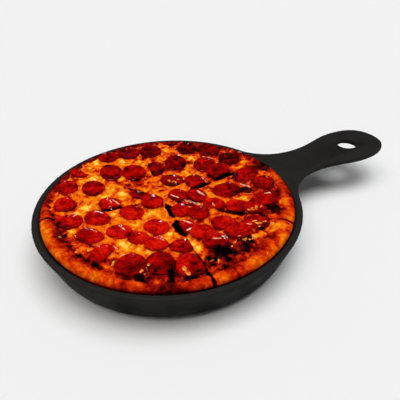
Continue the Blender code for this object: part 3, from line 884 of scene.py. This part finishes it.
class CheeseOperator(bpy.types.Operator):
    """Models the cheese over every slice, rising round the sausage"""

    bl_idname = "pizza.cheese"
    bl_label = "Cheese"

    WIDEN = 0.85 * MM
    SINK = 1.2 * MM
    REACH = 4.5 * MM
    THICKNESS = 1.6 * MM

    def execute(self, context):
        looks = context.scene.pizza_looks
        material = cheese_finish(looks)
        blank = self.blank(looks)
        for name in SLICES:
            piece = blank.copy()
            cut_out(piece, name, self.WIDEN)
            draw_back(piece, name, self.WIDEN, self.SINK, self.REACH)
            made = finished(piece, name.replace("slice", "cheese"), material)
            thick = made.modifiers.new("Thickness", "SOLIDIFY")
            thick.thickness = self.THICKNESS
            thick.offset = -1
            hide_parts(name)
        blank.free()
        return {"FINISHED"}

    def blank(self, looks):
        """The whole sheet of cheese before it is cut."""
        count = int(2 * FOOD_RADIUS / looks.cheese_step)
        bm = bmesh.new()
        bmesh.ops.create_grid(bm, x_segments=count, y_segments=count, size=FOOD_RADIUS)
        limit = FOOD_RADIUS - 0.6 * MM
        far = [v for v in bm.verts if v.co.xy.length > limit or cheese_mask(v.co.x, v.co.y) <= 0]
        bmesh.ops.delete(bm, geom=far, context="VERTS")
        tone = bm.verts.layers.float.new("tone")
        for vert in bm.verts:
            x, y, _ = vert.co
            level = cheese_level(x, y)
            ground = RELIEF.read(RELIEF.ground, x, y)
            away = RELIEF.read(RELIEF.away, x, y)
            vert.co.z = level
            bare = min(1, max(0, away / (4 * MM)))
            high = (level - ground - 0.3 * MM) / (1.6 * MM)
            area = min(1, 1.5 * RELIEF.read(TOASTED, x, y))
            halo = (1.8 + uneven(Vector((x, y, 0)), (8, 1.0)) + 1.5 * area) * MM
            near = 0.12 * (1 - smooth_step(0, halo, away))
            near += (0.12 + 0.06 * area) * (1 - smooth_step(0.5 * MM, 7 * MM, away))
            vert[tone] = CHEESE_TONE + 0.06 * high * bare - near + toast_at(x, y)
            vert[tone] -= 0.1 * (1 - cheese_mask(x, y))
            least = 0.20 + uneven(Vector((x, y, 3)), (4, 0.12)) - 0.45 * mark_at(BURNT, x, y)
            vert[tone] = max(vert[tone], least)
        return bm


class PepperoniOperator(bpy.types.Operator):
    """Models every piece of pepperoni over its solid"""

    bl_idname = "pizza.pepperoni"
    bl_label = "Pepperoni"

    SPOKES = 48
    # Half section of a piece: share of its radius, and level from its underside, 0, to its top, 1
    SECTION = (
        (0, 1), (0.15, 1), (0.3, 1), (0.45, 1), (0.58, 1), (0.69, 1), (0.77, 1), (0.83, 1), (0.88, 1),
        (0.92, 1), (0.955, 1), (0.98, 0.93), (0.995, 0.75), (1.0, 0.5), (0.99, 0.18), (0.95, 0), (0.75, 0),
        (0.4, 0), (0, 0),
    )

    def execute(self, context):
        looks = context.scene.pizza_looks
        material = pepperoni_finish(looks)
        draw = random.Random(looks.seed)
        for name in PEPPERONI:
            piece = self.piece(name, draw)
            made = finished(piece, name.replace("pepperoni", "sausage"), material)
            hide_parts(name)
        return {"FINISHED"}

    def piece(self, name, draw):
        """A fine disc that follows its solid's outline, lean and cup, with a crisp lip."""
        source = welded(name)
        tree = BVHTree.FromBMesh(source)
        middle = sum((v.co for v in source.verts), Vector()) / len(source.verts)
        turns = np.linspace(0, math.tau, self.SPOKES, endpoint=False)
        reach = []
        for turn in turns:
            arm = level_arm(turn)
            best = 0
            for level in np.linspace(-2, 2, 9) * MM:
                hit = tree.ray_cast(middle + arm * 0.03 + Vector((0, 0, level)), -arm)[0]
                if hit:
                    best = max(best, (hit.xy - middle.xy).length)
            reach.append(best)
        reach = np.array(reach)
        reach = (np.roll(reach, 1) + 2 * reach + np.roll(reach, -1)) / 4 + 0.5 * MM
        rows, tops, bottoms = [], [], []
        for turn, far in zip(turns, reach):
            for share in (0.0, 0.2, 0.4, 0.6, 0.75, 0.85):
                dx, dy = math.cos(turn) * far * share, math.sin(turn) * far * share
                above = tree.ray_cast(middle + Vector((dx, dy, 0.05)), DOWN)[0]
                below = tree.ray_cast(middle + Vector((dx, dy, -0.05)), UP)[0]
                if above and below:
                    rows.append((1, dx, dy, share * share))
                    tops.append(above.z)
                    bottoms.append(below.z)
        base = np.linalg.lstsq(np.array(rows), np.array(bottoms), rcond=None)[0]
        thick = float(np.median(np.array(tops) - np.array(bottoms))) * 0.92
        source.free()

        bm = turned(self.SECTION, self.SPOKES, 0.0005)
        tone = bm.verts.layers.float.new("tone")
        # Partly char and partly painted shade: each piece darkens toward one side, drawn mostly toward the
        # front of the pizza
        char_and_shade_side = draw.uniform(-0.9, 0.9) - math.pi / 2 + PIZZA_TURN
        char_and_shade_share = draw.choice((0.0, 0.1, 0.15, 0.25, 0.3))
        back = smooth_step(-30 * MM, 100 * MM, to_pizza(middle.x, middle.y)[1])
        shade = 0.70 - 0.24 * back + draw.uniform(-0.07, 0.07)
        lip = draw.uniform(0.45, 0.85) * MM
        shift = Vector([draw.uniform(0, 9) for _ in range(3)])
        for vert in bm.verts:
            share = vert.co.xy.length
            bearing = math.atan2(vert.co.y, vert.co.x)
            level = vert.co.z
            arm = level_arm(bearing)
            far = float(np.interp(bearing, turns, reach, period=math.tau))
            far *= 1 + 0.018 * noise.noise(arm * 4 + shift)
            dx, dy = math.cos(bearing) * far * share, math.sin(bearing) * far * share
            height = base[0] + base[1] * dx + base[2] * dy + base[3] * share * share
            place = Vector((dx, dy, 0)) / MM
            relief = noise.noise(place / 5.5 + shift) * 0.5 + noise.noise(place / 2.2 + shift) * 0.22
            ring = lip * (0.85 + 0.9 * noise.noise(arm * 1.6 + shift))
            top = thick + relief * MM + ring * smooth_step(0.74, 0.95, share) - 0.25 * MM
            top -= thick * 0.3 * smooth_step(0.95, 1.0, share)
            height += level * top
            vert.co = (middle.x + dx, middle.y + dy, height)
            rim = smooth_step(0.84, 1.0, share + 0.05 * noise.noise(place / 3 + shift))
            along = share * math.cos(bearing - char_and_shade_side)
            vert[tone] = shade - 0.03 * rim - char_and_shade_share * smooth_step(0.2, 1.0, along)
            vert[tone] -= 0.16 * min(1, RELIEF.read(TOASTED, vert.co.x, vert.co.y))
            vert[tone] -= 0.45 * smooth_step(0, 0.8, mark_at(BURNT, vert.co.x, vert.co.y))
        return bm


class ScrapsOperator(bpy.types.Operator):
    """Models the crumbs and the burnt scraps that lie on the top, and pale streaks of painted highlight on
    the sausage
    """

    bl_idname = "pizza.scraps"
    bl_label = "Crumbs and scraps"

    def execute(self, context):
        finished(self.lumps(CRUMBS, 0.55 * MM, 0.7), "crumbs", crumb_finish())
        finished(self.lumps(SCRAPS, 1.3 * MM, 0.35), "scraps", char_finish())
        # Painted highlights: pale streaks laid where the sausage glints
        finished(self.lumps(HIGHLIGHT_STREAK_PLACES, 0.35 * MM, 0.8), "painted_highlight_streaks", painted_highlight_finish())
        return {"FINISHED"}

    @staticmethod
    def lumps(places, height, fullness):
        """Low ragged lumps, each on whatever lies under its middle."""
        bm = bmesh.new()
        for number, (px, py, length, width, bearing) in enumerate(places):
            x, y = to_row(px * MM, py * MM)
            new = bmesh.ops.create_icosphere(bm, subdivisions=4, radius=1)["verts"]
            turn = math.radians(bearing) + PIZZA_TURN
            for vert in new:
                shape = 1 + 0.55 * noise.noise(vert.co * 1.6 + Vector((number * 3.1, 0, 0)))
                shape += 0.28 * noise.noise(vert.co * 4 + Vector((0, number * 2.3, 0)))
                flat = Vector((vert.co.x * length / 2, vert.co.y * width / 2, 0)) * MM * shape
                spot = Matrix.Rotation(turn, 3, "Z") @ flat
                sx, sy = x + spot.x, y + spot.y
                level = max(RELIEF.read(RELIEF.top, sx, sy), cheese_level(sx, sy))
                swell = math.copysign(abs(vert.co.z) ** fullness, vert.co.z) * height * shape
                vert.co = (sx, sy, level + swell)
        return bm


class StageOperator(bpy.types.Operator):
    """Sets the camera, the pale floor and the light"""

    bl_idname = "pizza.stage"
    bl_label = "Stage"

    # What the camera looks at, in the pizza's own frame
    TARGET = (0.2323 * RIM_RADIUS, 0, PAN_DEPTH - 0.0151 * RIM_RADIUS)
    SOFTBOX = (-0.32, 0.2, 1.0)

    def execute(self, context):
        looks = context.scene.stage_looks
        scene = context.scene
        turn = Matrix.Rotation(PIZZA_TURN, 4, "Z")
        target = turn @ Vector(self.TARGET)
        back = turn @ Vector((0, -math.cos(looks.elevation), math.sin(looks.elevation)))
        data = bpy.data.cameras.new("camera")
        data.sensor_width = 36
        data.lens = looks.focal_length
        data.clip_start = 0.01
        scene.camera = self.placed(data, target + back * looks.distance, back)

        floor = bmesh.new()
        bmesh.ops.create_grid(floor, x_segments=1, y_segments=1, size=6)
        mesh = bpy.data.meshes.new("floor")
        floor.to_mesh(mesh)
        floor.free()
        pale = bpy.data.materials.new("pale_floor")
        pale.use_nodes = True
        shader = pale.node_tree.nodes["Principled BSDF"]
        set_sockets(shader, Base_Color=(0.8, 0.8, 0.8, 1), Roughness=1, Specular_IOR_Level=0)
        mesh.materials.append(pale)
        ground = bpy.data.objects.new("floor", mesh)
        scene.collection.objects.link(ground)

        world = bpy.data.worlds.new("soft_sky")
        world.use_nodes = True
        set_sockets(world.node_tree.nodes["Background"], Color=(1, 1, 1, 1), Strength=looks.sky)
        world.cycles_visibility.glossy = False
        scene.world = world

        self.sun("key", turn, looks.key, 0, 78, (0.975, 1.0, 1.015))
        self.sun("fill", turn, looks.fill, 222, 68, (1.04, 1.0, 0.97))
        self.glint(turn, looks.gloss)
        scene.view_settings.view_transform = "Standard"
        return {"FINISHED"}

    def sun(self, name, turn, strength, bearing, height, colour):
        """A broad light from a bearing of the pizza's frame and a height, in degrees."""
        data = bpy.data.lights.new(name, "SUN")
        data.energy = strength
        data.color = colour
        data.angle = math.radians(45)
        height = math.radians(height)
        back = turn @ (level_arm(math.radians(bearing)) * math.cos(height) + UP * math.sin(height))
        self.placed(data, (0, 0, 0), back).visible_glossy = False

    def glint(self, turn, strength):
        """A softbox that only shows in glossy fat."""
        data = bpy.data.lights.new("softbox", "AREA")
        data.shape = "RECTANGLE"
        data.size = 0.45
        data.size_y = 0.08
        data.energy = strength
        place = turn @ Vector(self.SOFTBOX)
        self.placed(data, place, place).visible_diffuse = False

    @staticmethod
    def placed(data, place, back):
        """A camera or a light at a place, facing away from a direction."""
        made = bpy.data.objects.new(data.name, data)
        made.location = place
        made.rotation_euler = (-back).to_track_quat("-Z", "Y").to_euler()
        bpy.context.scene.collection.objects.link(made)
        return made


class PizzaPanel(bpy.types.Panel):
    """Lists the pieces and the stage"""

    bl_idname = "VIEW3D_PT_pizza"
    bl_label = "Deep dish pizza"
    bl_space_type = "VIEW_3D"
    bl_region_type = "UI"
    bl_category = "Pizza"

    def draw(self, context):
        for operator in OPERATORS:
            self.layout.operator(operator.bl_idname)


OPERATORS = (StageOperator, SkilletOperator, DoughOperator, CheeseOperator, PepperoniOperator, ScrapsOperator)
CLASSES = (SkilletLooks, PizzaLooks, StageLooks, *OPERATORS, PizzaPanel)


def register():
    """Registers the classes and their settings."""
    for entry in CLASSES:
        bpy.utils.register_class(entry)
    bpy.types.Scene.skillet_looks = bpy.props.PointerProperty(type=SkilletLooks)
    bpy.types.Scene.pizza_looks = bpy.props.PointerProperty(type=PizzaLooks)
    bpy.types.Scene.stage_looks = bpy.props.PointerProperty(type=StageLooks)


def unregister():
    """Takes the settings and the classes away again."""
    del bpy.types.Scene.skillet_looks
    del bpy.types.Scene.pizza_looks
    del bpy.types.Scene.stage_looks
    for entry in reversed(CLASSES):
        bpy.utils.unregister_class(entry)


def main():
    """Makes the stage and every piece."""
    register()
    bpy.ops.pizza.stage()
    bpy.ops.pizza.skillet()
    bpy.ops.pizza.dough()
    bpy.ops.pizza.cheese()
    bpy.ops.pizza.pepperoni()
    bpy.ops.pizza.scraps()


if __name__ == "__main__":
    main()
